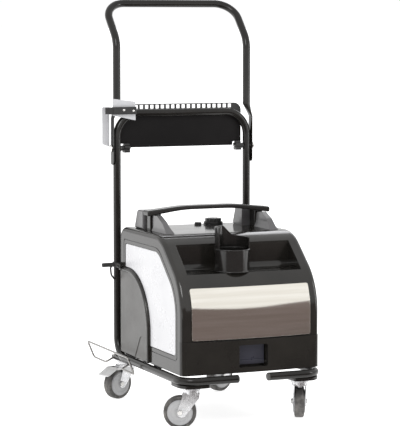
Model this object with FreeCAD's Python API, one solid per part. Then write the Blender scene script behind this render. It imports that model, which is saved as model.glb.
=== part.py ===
"""Steam and vacuum carpet cleaner on a push trolley with a folding handle and four swivel casters.

Millimetres.  +Z is up, the machine's front faces -Y and its left side is at -X.
Everything is modelled about the middle of the trolley's track at floor level, and the
whole machine is moved at the end so that the origin is the centre of its footprint.
"""
import FreeCAD, Part
import math
import os

V = FreeCAD.Vector
X_AXIS, Z_AXIS = V(1, 0, 0), V(0, 0, 1)

# ---------------------------------------------------------------- driving dimensions
TRACK = 364.0              # between the centres of the two posts
FRONT_Y = -290.0           # centre of the front tube
POST_Y = 158.0             # centre of the posts
RACK_Z = 746.0             # centre of the lower hoop's crossbar
HANDLE_Z = 1028.0          # centre of the handle's top bar
HANDLE_REACH = 90.0        # how far back the top bar lies
BODY_TOP = 458.0
WHEEL_R, WHEEL_W = 40.0, 24.0
TUBE_R, TUBE_WALL = 10.0, 1.8
FRONT_GAP = 84.0           # opening between the two front tube ends
FRONT_BEND, REAR_BEND, RACK_BEND, LEAN_BEND, GRIP_BEND = 42.0, 50.0, 60.0, 60.0, 55.0

RUN_GAP = 0.05             # radial running clearance of shafts
AIR = 0.4                  # gap between faces that move past each other
WALL = 3.0                 # moulded wall thickness

# casters
CASTER_TOP = 2 * WHEEL_R + 23.0
PLATE_T, GUSSET_T, FORK_T = 3.0, 7.0, 2.5
TRAIL = 28.0
AXLE_R = 4.0
CASTER_HEADINGS = {"front_left": 157.0, "front_right": 67.0, "rear_left": 202.0, "rear_right": 202.0}

# base tube and posts
HALF_TRACK = TRACK / 2.0
DECK_Z = CASTER_TOP + GUSSET_T + TUBE_R
DECK_TOP, DECK_UNDER = DECK_Z + TUBE_R, DECK_Z - TUBE_R
POST_OUT, POST_IN = HALF_TRACK + TUBE_R, HALF_TRACK - TUBE_R
POST_BACK, POST_FACE = POST_Y + TUBE_R, POST_Y - TUBE_R
CASTER_X, CASTER_FRONT_Y, CASTER_REAR_Y = HALF_TRACK - 37.0, FRONT_Y + 40.0, POST_Y + 42.0

# folding handle
HANDLE_BEND_Z = HANDLE_Z - 95.0
PIVOT_Z = RACK_Z - 90.0
LEG_END_Z = PIVOT_Z - 42.0
CRUSH_TOP_Z = PIVOT_Z + 77.0    # the flattened leg ends here and opens into the round tube
ROUND_Z = CRUSH_TOP_Z + 32.0
CRUSH_T, CRUSH_W = 3.8, 25.0
BOLT_R = 4.0
KNOB_IN, KNOB_R = POST_IN - 24.0, 13.0

# cleaner body
PAD_T = 2.0
BODY_HALF = HALF_TRACK + 1.0
BODY_FRONT, BODY_REAR = FRONT_Y + 10.0, POST_FACE - 8.0
BODY_Z0 = DECK_TOP + PAD_T
SLOPE_DEG = 40.0
SLOPE_Z = BODY_TOP - 117.0      # where the slope would meet the front line
EDGE_R = 12.0
CROWN, CROWN_R = 9.0, 1700.0    # how far the front covers bulge at the middle, and their radius


# ---------------------------------------------------------------- helpers
def box(x0, x1, y0, y1, z0, z1):
    return Part.makeBox(x1 - x0, y1 - y0, z1 - z0, V(x0, y0, z0))


def rod(p, q, radius):
    p, q = V(*p), V(*q)
    return Part.makeCylinder(radius, (q - p).Length, p, q - p)


def ring(p, q, outer, inner):
    return rod(p, q, outer).cut(rod(p, q, inner))


def join(shapes):
    shapes = list(shapes)
    return shapes[0].fuse(shapes[1:]).removeSplitter() if len(shapes) > 1 else shapes[0]


def cut(shape, *tools):
    for tool in tools:
        shape = shape.cut(tool)
    return shape


def group(shapes):
    return Part.makeCompound(list(shapes))


def mirror_x(shape):
    return shape.mirror(V(0, 0, 0), X_AXIS)


def pair(shape):
    """The left piece and its mirror image."""
    return [shape, mirror_x(shape)]


def rounded_edges(points, radii, closed):
    """Straight runs joined by tangent arcs, as a list of edges."""
    count = len(points)
    starts, ends, arcs = [], [], []
    for i in range(count):
        here, radius = points[i], radii[i]
        if not closed and i in (0, count - 1) or radius <= 0:
            starts.append(here)
            ends.append(here)
            arcs.append(None)
            continue
        back = (points[i - 1] - here).normalize()
        ahead = (points[(i + 1) % count] - here).normalize()
        half = back.getAngle(ahead) / 2.0
        reach = radius / math.tan(half)
        middle = here + (back + ahead).normalize() * (radius / math.sin(half) - radius)
        starts.append(here + back * reach)
        ends.append(here + ahead * reach)
        arcs.append(middle)
    edges = []
    for i in range(count):
        if arcs[i] is not None:
            edges.append(Part.Arc(starts[i], arcs[i], ends[i]).toShape())
        if i < count - 1 or closed:
            p, q = ends[i], starts[(i + 1) % count]
            if (q - p).Length > 1e-6:
                edges.append(Part.LineSegment(p, q).toShape())
    return edges


def outline(points, radii):
    return Part.Wire(rounded_edges(points, radii, True))


def prism_x(yz, radii, x0, x1):
    """Extrudes an outline in the YZ plane along X."""
    wire = outline([V(x0, y, z) for y, z in yz], radii)
    return Part.Face(wire).extrude(V(x1 - x0, 0, 0))


def block(x0, x1, y0, y1, z0, z1, radius):
    """A box with its upright edges rounded."""
    return prism_z([(x0, y0), (x1, y0), (x1, y1), (x0, y1)], [radius] * 4, z0, z1)


def plate_y(x0, x1, z0, z1, y0, y1, radius):
    """A plate facing Y with its four corners rounded."""
    return prism_y([(x0, z0), (x1, z0), (x1, z1), (x0, z1)], [radius] * 4, y0, y1)


def prism_y(xz, radii, y0, y1):
    wire = outline([V(x, y0, z) for x, z in xz], radii)
    return Part.Face(wire).extrude(V(0, y1 - y0, 0))


def prism_z(xy, radii, z0, z1):
    wire = outline([V(x, y, z0) for x, y in xy], radii)
    return Part.Face(wire).extrude(V(0, 0, z1 - z0))


def bent_bar(points, radii, radius):
    """A round bar along straight runs and tangent arcs."""
    points = [V(*p) for p in points]
    path = Part.Wire(rounded_edges(points, radii, False))
    circle = Part.Wire(Part.makeCircle(radius, points[0], points[1] - points[0]))
    return path.makePipeShell([circle], True, False)


def bent_tube(points, radii, radius, wall):
    return bent_bar(points, radii, radius).cut(bent_bar(points, radii, radius - wall))


def fillet(shape, radius, chosen):
    edges = [e for e in shape.Edges if chosen(e)]
    return shape.makeFillet(radius, edges) if edges else shape


def turned(shape, x, y, degrees):
    """Turns a caster piece, built about the origin heading +X, and sets it in place."""
    copy = shape.copy()
    copy.rotate(V(0, 0, 0), Z_AXIS, degrees)
    copy.translate(V(x, y, 0))
    return copy


def screw_head(p, direction, radius=3.2, height=1.6):
    base, axis = V(*p), V(*direction)
    dome = Part.makeCylinder(radius, height, base, axis)
    return dome.makeFillet(height * 0.6, [e for e in dome.Edges
                                          if e.CenterOfMass.distanceToPoint(base) > height * 0.9])


parts = {}

# ---------------------------------------------------------------- trolley frame
HOOP = [(-FRONT_GAP / 2, FRONT_Y, DECK_Z), (-HALF_TRACK, FRONT_Y, DECK_Z), (-HALF_TRACK, POST_Y, DECK_Z),
        (-HALF_TRACK, POST_Y, RACK_Z), (HALF_TRACK, POST_Y, RACK_Z), (HALF_TRACK, POST_Y, DECK_Z),
        (HALF_TRACK, FRONT_Y, DECK_Z), (FRONT_GAP / 2, FRONT_Y, DECK_Z)]
HOOP_BENDS = [0, FRONT_BEND, REAR_BEND, RACK_BEND, RACK_BEND, REAR_BEND, FRONT_BEND, 0]
PLATE_OUT = POST_OUT + 0.3 + CRUSH_T
HEAD_OUT = PLATE_OUT + 0.2 + 4.0


def lower_frame():
    tube = bent_tube(HOOP, HOOP_BENDS, TUBE_R, TUBE_WALL)
    hole = rod((-POST_OUT - 5, POST_Y, PIVOT_Z), (POST_OUT + 5, POST_Y, PIVOT_Z), BOLT_R + 0.1)
    return tube.cut(hole)


def end_cap():
    x = -FRONT_GAP / 2
    plug = rod((x - 14, FRONT_Y, DECK_Z), (x, FRONT_Y, DECK_Z), TUBE_R - TUBE_WALL)
    head = rod((x, FRONT_Y, DECK_Z), (x + 4, FRONT_Y, DECK_Z), TUBE_R)
    head = head.makeFillet(3.0, [e for e in head.Edges if e.CenterOfMass.x > x + 3.9])
    return plug.fuse(head)


parts["lower_frame_tube"] = lower_frame()
parts["frame_end_caps"] = group(pair(end_cap()))

GUSSET_IN = CASTER_X - 33.0
front_gusset = prism_z([(-HALF_TRACK - 4, FRONT_Y - 4), (-GUSSET_IN, FRONT_Y - 4),
                        (-GUSSET_IN, CASTER_FRONT_Y + 36),
                        (-HALF_TRACK - 4, CASTER_FRONT_Y + 36)], [36, 8, 8, 8], CASTER_TOP, DECK_UNDER)
REAR_PLATE_HALF, REAR_PLATE_Y0, REAR_PLATE_Y1 = HALF_TRACK - 6, POST_Y - 58, CASTER_REAR_Y + 32
HATCH_HALF, HATCH_Y0, HATCH_Y1 = CASTER_X - 51, POST_Y - 28, CASTER_REAR_Y + 8


def rear_plate():
    """Plate under both rear casters, with a hatch in the middle and a lug for the cradle's far neck."""
    plate = prism_z([(-REAR_PLATE_HALF, REAR_PLATE_Y0), (REAR_PLATE_HALF, REAR_PLATE_Y0),
                     (REAR_PLATE_HALF, REAR_PLATE_Y1), (-REAR_PLATE_HALF, REAR_PLATE_Y1)],
                    [6, 6, 14, 14], CASTER_TOP, DECK_UNDER)
    hatch = block(-HATCH_HALF, HATCH_HALF, HATCH_Y0, HATCH_Y1, CASTER_TOP - 1, DECK_UNDER + 1, 12)
    lug_y = CRADLE_MID_Y + NECK_HALF
    lug = box(CRADLE_END - 6, CRADLE_END + 8, lug_y - 5, lug_y + 5, DECK_UNDER, NECK_Z + 4)
    return join([plate.cut(hatch), lug]).cut(cradle)


REST_BAR_T, REST_BAR_W = 6.0, 30.0
REST_BAR_YS = (FRONT_Y + 200, POST_Y - 68)
PAD_X = HALF_TRACK - 52.0


def rest_bar(y):
    sides = [rod((s * HALF_TRACK, FRONT_Y, DECK_Z), (s * HALF_TRACK, POST_Y, DECK_Z), TUBE_R)
             for s in (-1, 1)]
    half = REST_BAR_W / 2
    bar = box(-POST_IN - 1.5, POST_IN + 1.5, y - half, y + half, DECK_TOP - REST_BAR_T, DECK_TOP)
    return bar.cut(sides + [cradle])


def rest_pad(x, y):
    return block(x - 22, x + 22, y - 11, y + 11, DECK_TOP, BODY_Z0, 4)


# wire cradle beside the left rear wheel
WIRE_R = 2.5
CRADLE_MID_Y, CRADLE_HALF, NECK_HALF = POST_Y - 10.0, 148.0, 59.0
CRADLE_OUT, CRADLE_IN, CRADLE_END = -POST_OUT - 23.0, -POST_OUT - 5.0, -CASTER_X + 3.0
CRADLE_TOP_Z, CRADLE_LOW_Z, NECK_Z = DECK_Z + 18.0, DECK_Z - 25.0, DECK_Z + 3.0


def wire_cradle():
    far, near = CRADLE_MID_Y + CRADLE_HALF, CRADLE_MID_Y - CRADLE_HALF
    neck_far, neck_near = CRADLE_MID_Y + NECK_HALF, CRADLE_MID_Y - NECK_HALF
    path = [(CRADLE_END, neck_far, NECK_Z), (CRADLE_IN, neck_far, CRADLE_LOW_Z),
            (CRADLE_IN, far, CRADLE_LOW_Z),
            (CRADLE_OUT, far, CRADLE_TOP_Z), (CRADLE_OUT, near, CRADLE_TOP_Z),
            (CRADLE_IN, near, CRADLE_LOW_Z),
            (CRADLE_IN, neck_near, CRADLE_LOW_Z), (CRADLE_END, neck_near, NECK_Z)]
    return bent_bar(path, [0, 8, 8, 8, 8, 8, 8, 0], WIRE_R)


cradle = wire_cradle()
parts["wire_cradle"] = cradle
parts["caster_mount_plates"] = group(pair(front_gusset) + [rear_plate()])
parts["body_rest_bars"] = group([rest_bar(y) for y in REST_BAR_YS])
parts["rest_pads"] = group([rest_pad(s * PAD_X, y) for s in (-1, 1) for y in REST_BAR_YS])

# ---------------------------------------------------------------- tool rack
PANEL_T = 1.5
PANEL_HALF = POST_IN - 2.0
PANEL_Z0, PANEL_Z1 = PIVOT_Z + 1.0, RACK_Z + 8.0
PANEL_NOTCH_X, PANEL_NOTCH_Z = KNOB_IN - 2.0, PANEL_Z0 + 10.0
PANEL_LIP = 8.0
COMB_T, COMB_Z0, COMB_Z1 = 3.0, RACK_Z - 8.0, RACK_Z + 22.5
SLOT_COUNT, SLOT_W, SLOT_Z0, SLOT_H = 20, 9.6, RACK_Z + 10.4, 9.6
SLOT_PITCH = (2 * POST_IN - 52.0) / SLOT_COUNT


def rack_panel():
    """Sheet behind the crossbar, notched round the knobs, with a lip turned back along its lower edge."""
    left = [(-PANEL_NOTCH_X, PANEL_Z0), (-PANEL_NOTCH_X, PANEL_NOTCH_Z), (-PANEL_HALF, PANEL_NOTCH_Z),
            (-PANEL_HALF, PANEL_Z1)]
    right = [(-x, z) for x, z in reversed(left)]
    sheet = prism_y(left + right, [2, 4, 2, 46, 46, 2, 4, 2], POST_BACK, POST_BACK + PANEL_T)
    lip_half = PANEL_NOTCH_X - 4
    lip = box(-lip_half, lip_half, POST_BACK, POST_BACK + PANEL_LIP, PANEL_Z0, PANEL_Z0 + PANEL_T)
    return join([sheet, lip])


def tool_comb():
    y0 = POST_BACK + PANEL_T
    half = POST_IN - 1.0
    strip = prism_y([(-half, COMB_Z0), (half, COMB_Z0), (half, COMB_Z1), (-half, COMB_Z1)],
                    [5, 5, 20, 20], y0, y0 + COMB_T)
    first = -SLOT_PITCH * (SLOT_COUNT - 1) / 2
    slots = [box(first + i * SLOT_PITCH - SLOT_W / 2, first + i * SLOT_PITCH + SLOT_W / 2, y0 - 1,
                 y0 + COMB_T + 1,
                 SLOT_Z0, SLOT_Z0 + SLOT_H) for i in range(SLOT_COUNT)]
    return strip.cut(slots)


# lance holder on the left post
SHEET_T = 2.0
HOLD_Y = POST_FACE - 2.0 - SHEET_T
HOLD_L, HOLD_R = -POST_OUT - 6.0, -POST_IN + 36.0
FLAP_L, FLAP_Y = -POST_OUT - 25.0, POST_BACK + 3.0


def lance_bracket():
    """Bent sheet: a face before the post, a web beside it and a flap behind."""
    face = prism_y([(HOLD_L, RACK_Z - 5), (HOLD_R, RACK_Z - 18), (HOLD_R, RACK_Z + 30),
                    (HOLD_L, RACK_Z + 38)],
                   [1, 1, 1, 1], HOLD_Y, HOLD_Y + SHEET_T)
    web = box(HOLD_L - SHEET_T, HOLD_L, HOLD_Y, FLAP_Y + SHEET_T, RACK_Z - 3, RACK_Z + 16)
    flap = prism_y([(FLAP_L, RACK_Z - 79), (HOLD_L, RACK_Z - 86), (HOLD_L, RACK_Z + 16),
                    (FLAP_L, RACK_Z + 16)],
                   [4, 1, 1, 3], FLAP_Y, FLAP_Y + SHEET_T)
    return join([face, web, flap])


CLAMP_Z0, CLAMP_Z1 = RACK_Z - 2.0, RACK_Z + 17.0
CLAMP_Y0 = HOLD_Y - 9.0


def bracket_clamp():
    """Clamp bar on the face with a jaw for the lance, and a lug that saddles the crossbar."""
    web_x, jaw_x, jaw_back = HOLD_L - SHEET_T, FLAP_L - 3, FLAP_Y - 18
    bar = prism_z([(web_x, CLAMP_Y0), (HOLD_R, CLAMP_Y0), (HOLD_R, HOLD_Y), (web_x, HOLD_Y)],
                  [2, 2, 0.5, 0.5], CLAMP_Z0, CLAMP_Z1)
    jaw = prism_z([(jaw_x, CLAMP_Y0 + 2), (web_x, CLAMP_Y0 + 2), (web_x, jaw_back), (jaw_x + 8, jaw_back),
                   (jaw_x, jaw_back - 10)], [4, 0.5, 0.5, 2, 3], CLAMP_Z0 + 1, CLAMP_Z1 - 1)
    lug = box(HOLD_R - 14, HOLD_R, HOLD_Y + SHEET_T, POST_BACK - 0.5, CLAMP_Z0 + 1, CLAMP_Z1 - 1)
    return group([bar.fuse(jaw), lug.cut(bent_bar(HOOP[2:5], [0, RACK_BEND, 0], TUBE_R + 0.1))])


parts["rack_panel"] = rack_panel()
parts["tool_comb"] = tool_comb()
parts["lance_bracket"] = lance_bracket()
parts["bracket_clamp"] = bracket_clamp()
rack_screws = [screw_head((HOLD_R - 35, CLAMP_Y0, RACK_Z + 9), (0, -1, 0)),
               screw_head((HOLD_R - 9, CLAMP_Y0, RACK_Z + 7), (0, -1, 0))]
rack_screws += [screw_head((x, POST_BACK + PANEL_T + COMB_T, RACK_Z), (0, 1, 0)) for x in (-110, 0, 110)]
parts["rack_screws"] = group(rack_screws)

# rubber strap that holds the cleaner against the left post, with its pull bar
STRAP_Z, STRAP_H, STRAP_T = BODY_TOP - 101.0, 11.0, 2.8
PULL_R, PULL_OUT, PULL_Y = 5.5, -POST_OUT - 35.0, POST_Y - 8.0
HOOK_Y, HOOK_R = BODY_REAR - 23.0, 3.0


def post_core(z0, z1):
    return rod((-HALF_TRACK, POST_Y, z0), (-HALF_TRACK, POST_Y, z1), TUBE_R)


def strap_handle():
    bar = rod((PULL_OUT, PULL_Y, STRAP_Z), (-POST_OUT - STRAP_T + 1, PULL_Y, STRAP_Z), PULL_R)
    bar = bar.makeFillet(2.0, [e for e in bar.Edges if abs(e.CenterOfMass.x - PULL_OUT) < 0.1])
    return bar.cut(rubber_strap())


def rubber_strap():
    """A band round the post, a tab to the cleaner's side hook, and the slack loop that hangs below."""
    z0, z1 = STRAP_Z - STRAP_H / 2, STRAP_Z + STRAP_H / 2
    band = rod((-HALF_TRACK, POST_Y, z0), (-HALF_TRACK, POST_Y, z1), TUBE_R + STRAP_T)
    tab = box(-POST_OUT - STRAP_T, -POST_OUT, HOOK_Y - 8, POST_Y, z0, z1)
    tab = tab.cut(rod((-POST_OUT - 9, HOOK_Y, STRAP_Z), (-POST_OUT + 5, HOOK_Y, STRAP_Z), HOOK_R + 0.2))
    slack = bent_bar([(-POST_OUT + 1, PULL_Y, STRAP_Z), (-POST_OUT - 13, PULL_Y - 2, STRAP_Z - 5),
                      (-POST_OUT - 11, PULL_Y - 2, STRAP_Z - 26),
                      (-POST_OUT + 3, PULL_Y + 5, STRAP_Z - 41)],
                     [0, 6, 14, 0], 2.3)
    return join([band, tab, slack]).cut(post_core(STRAP_Z - 60, STRAP_Z + 20))


parts["strap_handle"] = strap_handle()
parts["rubber_strap"] = rubber_strap()

# ---------------------------------------------------------------- folding handle
PLATE_X = POST_OUT + 0.3 + CRUSH_T / 2


def oval_wire(x, z, half_y, half_x):
    """A level oval about the left leg, longest along Y."""
    centre = V(x, POST_Y, z)
    return Part.Wire(Part.Ellipse(centre + V(0, half_y, 0), centre - V(half_x, 0, 0), centre).toShape())


def flat_leg():
    """Left leg's crushed end: an oval strip outside the post that opens into the round tube."""
    def oval(z):
        return oval_wire(-PLATE_X, z, CRUSH_W / 2, CRUSH_T / 2)
    low = LEG_END_Z + CRUSH_W / 2
    strip = Part.Face(oval(LEG_END_Z)).extrude(V(0, 0, CRUSH_TOP_Z - LEG_END_Z))
    keep = join([box(-PLATE_X - 5, -PLATE_X + 5, POST_Y - 15, POST_Y + 15, low, CRUSH_TOP_Z),
                 rod((-PLATE_X - 5, POST_Y, low), (-PLATE_X + 5, POST_Y, low), CRUSH_W / 2)])
    strip = strip.common(keep)
    round_end = oval_wire(-HALF_TRACK, ROUND_Z, TUBE_R - 0.2, TUBE_R - 0.3)
    opening = Part.makeLoft([oval(CRUSH_TOP_Z), round_end], True, True)
    return strip.fuse(opening)


def handle_tube():
    top_y = POST_Y + HANDLE_REACH
    path = [(-HALF_TRACK, POST_Y, ROUND_Z), (-HALF_TRACK, POST_Y, HANDLE_BEND_Z),
            (-HALF_TRACK, top_y, HANDLE_Z),
            (HALF_TRACK, top_y, HANDLE_Z), (HALF_TRACK, POST_Y, HANDLE_BEND_Z), (HALF_TRACK, POST_Y, ROUND_Z)]
    tube = bent_tube(path, [0, LEAN_BEND, GRIP_BEND, GRIP_BEND, LEAN_BEND, 0], TUBE_R, TUBE_WALL)
    whole = tube.fuse(pair(flat_leg()))
    return whole.cut(rod((-POST_OUT - 20, POST_Y, PIVOT_Z), (POST_OUT + 20, POST_Y, PIVOT_Z),
                         BOLT_R + RUN_GAP))


def pivot_bolt():
    shaft = rod((-HEAD_OUT + 3, POST_Y, PIVOT_Z), (-KNOB_IN - 3, POST_Y, PIVOT_Z), BOLT_R)
    head = rod((-HEAD_OUT, POST_Y, PIVOT_Z), (-HEAD_OUT + 3.6, POST_Y, PIVOT_Z), 8.0)
    head = head.makeFillet(2.4, [e for e in head.Edges if abs(e.CenterOfMass.x + HEAD_OUT) < 0.1])
    return shaft.fuse(head)


def star_knob():
    """Five-lobed knob that clamps the left post from inside."""
    inner, boss = -KNOB_IN, -POST_IN + AIR
    hub = rod((inner - 1, POST_Y, PIVOT_Z), (inner - 16, POST_Y, PIVOT_Z), KNOB_R - 3.5)
    lobes = [rod((inner - 1, POST_Y + 8.6 * math.cos(a), PIVOT_Z + 8.6 * math.sin(a)),
                 (inner - 16, POST_Y + 8.6 * math.cos(a), PIVOT_Z + 8.6 * math.sin(a)), KNOB_R - 8.6)
             for a in [math.radians(90 + 72 * i) for i in range(5)]]
    face = rod((inner, POST_Y, PIVOT_Z), (inner - 1.1, POST_Y, PIVOT_Z), KNOB_R - 6)
    neck = rod((inner - 15, POST_Y, PIVOT_Z), (boss, POST_Y, PIVOT_Z), 6.5)
    knob = join([hub, face, neck] + lobes)
    return knob.cut(rod((inner - 2.6, POST_Y, PIVOT_Z), (boss - 5, POST_Y, PIVOT_Z), BOLT_R + RUN_GAP))


parts["handle_tube"] = handle_tube()
parts["pivot_bolts"] = group(pair(pivot_bolt()))
parts["star_knob_left"] = star_knob()
parts["star_knob_right"] = mirror_x(star_knob())

# ---------------------------------------------------------------- casters
FORK_GAP = WHEEL_W / 2 + 2.0
STEM_R = 5.0
FORK_OUT = FORK_GAP + FORK_T
CROWN_Z = WHEEL_R * 2 + 6.0
RACE_R = 21.0
GUARD_R = WHEEL_R - 11.0
HUB_R = 9.0


def caster_plate():
    plate = prism_z([(-30, -30), (30, -30), (30, 30), (-30, 30)], [7] * 4, CASTER_TOP - PLATE_T, CASTER_TOP)
    cup = rod((0, 0, CASTER_TOP - PLATE_T - 5), (0, 0, CASTER_TOP - PLATE_T), RACE_R)
    cup = cup.makeFillet(1.5, [e for e in cup.Edges if e.CenterOfMass.z < CASTER_TOP - PLATE_T - 4.9])
    stem = rod((0, 0, CROWN_Z - 1), (0, 0, CASTER_TOP - PLATE_T), STEM_R)
    nut = rod((0, 0, CROWN_Z - 5), (0, 0, CROWN_Z - 0.5), 7.5)
    return join([plate, cup, stem, nut])


def caster_fork():
    """Pressed fork: a round crown under the race and two tapering legs that carry the axle."""
    crown = rod((0, 0, CROWN_Z), (0, 0, CASTER_TOP - PLATE_T - 5 - AIR), RACE_R - 1.0)
    legs = []
    for s in (-1, 1):
        leg = [(-RACE_R + 1, CROWN_Z + FORK_T), (-RACE_R + 3, CROWN_Z - 10), (TRAIL - 11, WHEEL_R - 11),
               (TRAIL + 11, WHEEL_R - 11), (RACE_R + 3, CROWN_Z - 12), (RACE_R - 1, CROWN_Z + FORK_T)]
        wire = outline([V(x, s * FORK_GAP, z) for x, z in leg], [0.5, 6, 10.5, 10.5, 8, 0.5])
        legs.append(Part.Face(wire).extrude(V(0, s * FORK_T, 0)))
    bridge = box(-RACE_R + 2, RACE_R - 2, -FORK_OUT, FORK_OUT, CROWN_Z, CROWN_Z + FORK_T)
    fork = join([crown, bridge] + legs)
    axle = rod((TRAIL, -FORK_OUT - 1, WHEEL_R), (TRAIL, FORK_OUT + 1, WHEEL_R), AXLE_R)
    stem = rod((0, 0, CROWN_Z - 6), (0, 0, CASTER_TOP), STEM_R + RUN_GAP)
    return cut(fork, axle, stem)


def axle_and_guards():
    """The axle bolt with its head and nut, and the two thread guard discs beside the wheel."""
    axle = rod((TRAIL, -FORK_OUT - 2, WHEEL_R), (TRAIL, FORK_OUT + 2, WHEEL_R), AXLE_R)
    ends = [rod((TRAIL, s * (FORK_OUT), WHEEL_R), (TRAIL, s * (FORK_OUT + 3.5), WHEEL_R), 6.5)
            for s in (-1, 1)]
    guards = []
    for s in (-1, 1):
        disc = rod((TRAIL, s * (WHEEL_W / 2 + 0.4), WHEEL_R), (TRAIL, s * FORK_GAP, WHEEL_R), GUARD_R)
        guards.append(disc.cut(axle))
    return group([join([axle] + ends)] + guards)


def wheel_core():
    core = rod((TRAIL, -WHEEL_W / 2, WHEEL_R), (TRAIL, WHEEL_W / 2, WHEEL_R), GUARD_R + 2)
    core = core.cut(group([ring((TRAIL, s * WHEEL_W / 2, WHEEL_R), (TRAIL, s * 3.0, WHEEL_R), GUARD_R - 1,
                                HUB_R)
                           for s in (-1, 1)]))
    return core.cut(rod((TRAIL, -WHEEL_W, WHEEL_R), (TRAIL, WHEEL_W, WHEEL_R), AXLE_R + RUN_GAP))


def tyre():
    body = rod((TRAIL, -WHEEL_W / 2 + 0.5, WHEEL_R), (TRAIL, WHEEL_W / 2 - 0.5, WHEEL_R), WHEEL_R)
    body = body.makeFillet(4.0, [e for e in body.Edges if e.Curve.TypeId == "Part::GeomCircle"])
    return body.cut(rod((TRAIL, -WHEEL_W, WHEEL_R), (TRAIL, WHEEL_W, WHEEL_R), GUARD_R + 2))


PEDAL_PIVOT_X, PEDAL_PIVOT_Z, PEDAL_PIN_R = -7.0, WHEEL_R * 2 - 9.0, 2.5
TOE_Z = WHEEL_R * 2 + 4.0


def brake_pedal():
    """Foot lever of a rear caster: two side arms and a sloping toe plate that reaches over the tyre."""
    arms = []
    for s in (-1, 1):
        side = [(PEDAL_PIVOT_X - 6, PEDAL_PIVOT_Z - 6), (PEDAL_PIVOT_X + 7, PEDAL_PIVOT_Z - 6),
                (TRAIL, TOE_Z - 6),
                (TRAIL + 20, TOE_Z - 6), (TRAIL + 20, TOE_Z), (TRAIL, TOE_Z), (PEDAL_PIVOT_X - 6,
                                                                               PEDAL_PIVOT_Z + 7)]
        y0 = s * (FORK_OUT + AIR)
        wire = outline([V(x, y0, z) for x, z in side], [4, 4, 6, 1, 1, 8, 4])
        arms.append(Part.Face(wire).extrude(V(0, s * 2.0, 0)))
    reach = FORK_OUT + 2 + AIR
    toe = prism_y([(TRAIL + 15, TOE_Z - 2), (TRAIL + 17, TOE_Z + 1), (TRAIL + 52, TOE_Z - 17),
                   (TRAIL + 50, TOE_Z - 20)], [0.5, 0.5, 1, 1], -reach, reach)
    return join(arms + [toe]).cut(pedal_pin(reach, PEDAL_PIN_R + RUN_GAP))


def pedal_pin(half, radius):
    return rod((PEDAL_PIVOT_X, -half, PEDAL_PIVOT_Z), (PEDAL_PIVOT_X, half, PEDAL_PIVOT_Z), radius)


BOLT_PITCH = 21.5


def caster_bolt(x, y):
    """Head of a bolt that holds a caster plate, on top of the frame's plate."""
    return rod((x, y, DECK_UNDER), (x, y, DECK_UNDER + 3.5), 4.5)


CASTERS = {"front_left": (-CASTER_X, CASTER_FRONT_Y), "front_right": (CASTER_X, CASTER_FRONT_Y),
           "rear_left": (-CASTER_X, CASTER_REAR_Y), "rear_right": (CASTER_X, CASTER_REAR_Y)}
plates, caster_bolts = [], []
for name, (cx, cy) in CASTERS.items():
    heading = CASTER_HEADINGS[name]
    fork = caster_fork()
    if name.startswith("rear"):
        fork = fork.fuse(pedal_pin(FORK_OUT + 4, PEDAL_PIN_R)).removeSplitter()
        parts["brake_pedal_" + name] = turned(brake_pedal(), cx, cy, heading)
    parts["fork_" + name] = turned(fork, cx, cy, heading)
    parts["axle_" + name] = turned(axle_and_guards(), cx, cy, heading)
    parts["wheel_" + name] = turned(wheel_core(), cx, cy, heading)
    parts["tyre_" + name] = turned(tyre(), cx, cy, heading)
    plates.append(turned(caster_plate(), cx, cy, 0))
    for sx, sy in ((-1, -1), (1, -1), (-1, 1), (1, 1)):
        under_bend = cy < 0 and sy < 0 and sx * cx > 0      # the tube's corner covers this place
        if not under_bend:
            caster_bolts.append(caster_bolt(cx + sx * BOLT_PITCH, cy + sy * BOLT_PITCH))
parts["caster_plates"] = group(plates)
parts["caster_bolts"] = group(caster_bolts)

# ---------------------------------------------------------------- cleaner body
def profile(inset=0.0, rear=None, bottom=None):
    """Side outline of the body, moved inwards by inset."""
    slope = math.radians(SLOPE_DEG)
    front, top = BODY_FRONT + inset, BODY_TOP - inset
    rear = BODY_REAR - inset if rear is None else rear
    bottom = BODY_Z0 + inset if bottom is None else bottom
    knee_z = SLOPE_Z + inset * math.tan(slope) - inset / math.cos(slope)
    brow_y = front + (top - knee_z) / math.tan(slope)
    points = [(front, bottom), (front, knee_z), (brow_y, top), (rear, top), (rear, bottom)]
    radii = [0, max(150 - inset, 20), max(100 - inset, 12), max(32 - inset, 4), 0]
    return points, radii


def slab(inset, x0, x1, **ends):
    points, radii = profile(inset, **ends)
    return prism_x(points, radii, x0, x1)


def body_block(inset):
    """The body's outer form, with its side edges and rear corners rounded."""
    half = BODY_HALF - inset
    low = BODY_Z0 + inset + 0.5
    return fillet(slab(inset, -half, half), max(EDGE_R - inset, 3.0),
                  lambda e: abs(abs(e.CenterOfMass.x) - half) < 0.01 and e.CenterOfMass.z > low)


OUTER = body_block(0.0)
POST_ROOM = pair(bent_bar(HOOP[1:4], HOOP_BENDS[0:1] + [REAR_BEND, 0], TUBE_R + 1.0))
TRAY_HALF, TRAY_Y0, TRAY_Y1, TRAY_Z = BODY_HALF - 31, BODY_FRONT + 26, BODY_FRONT + 115, BODY_TOP - 86
tray_void = prism_x([(TRAY_Y0 - 60, TRAY_Z), (TRAY_Y1, TRAY_Z), (TRAY_Y1, BODY_TOP + 30),
                     (TRAY_Y0 - 60, BODY_TOP + 30)], [0, 16, 0, 0], -TRAY_HALF, TRAY_HALF)

# side inserts
INSERT_INSET, INSERT_REAR, INSERT_Z0 = 40.0, BODY_REAR - 43, BODY_Z0 + 44
ARCH_FRONT, ARCH_TOP, ARCH_R = BODY_REAR - 212, BODY_TOP - 104, 145.0
INSERT_DEPTH, INSERT_T = 4.0, 3.4
RIM_W, RIM_OUT, RIM_LAP = 7.0, 7.0, 0.8     # raised rim round the arch: width, how far it stands out, lap
GROOVE_OFFSET, GROOVE_W, GROOVE_D = 9.0, 2.0, 1.2


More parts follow.
